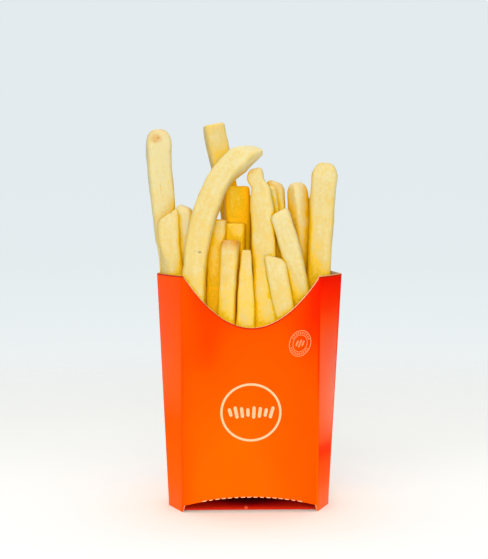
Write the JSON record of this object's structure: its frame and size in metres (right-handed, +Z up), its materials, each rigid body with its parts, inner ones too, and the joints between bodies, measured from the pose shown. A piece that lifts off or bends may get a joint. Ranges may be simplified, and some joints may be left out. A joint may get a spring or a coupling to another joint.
{
  "type": "french fries in a carton",
  "caption": "Loose bundle of french fries standing in a six-sided folded paperboard carton with a scooped front and a flat base.",
  "frame": {"origin": "centre of the carton's floor panel, on its underside, where it rests on the table", "axes": "+Z up; the front panel with the scoop faces -Y; +X to the right as seen from the front"},
  "size_m": [0.0845, 0.0385, 0.1642],
  "materials": {
    "paperboard": "coated orange-red printed paperboard, satin, pale cut edges and unprinted inside",
    "fried_potato": "pale golden fried potato, faintly oily, browned at some tips"
  },
  "bodies": {
    "root": {"carton": "paperboard", "fries": "fried_potato"}
  },
  "joints": []
}
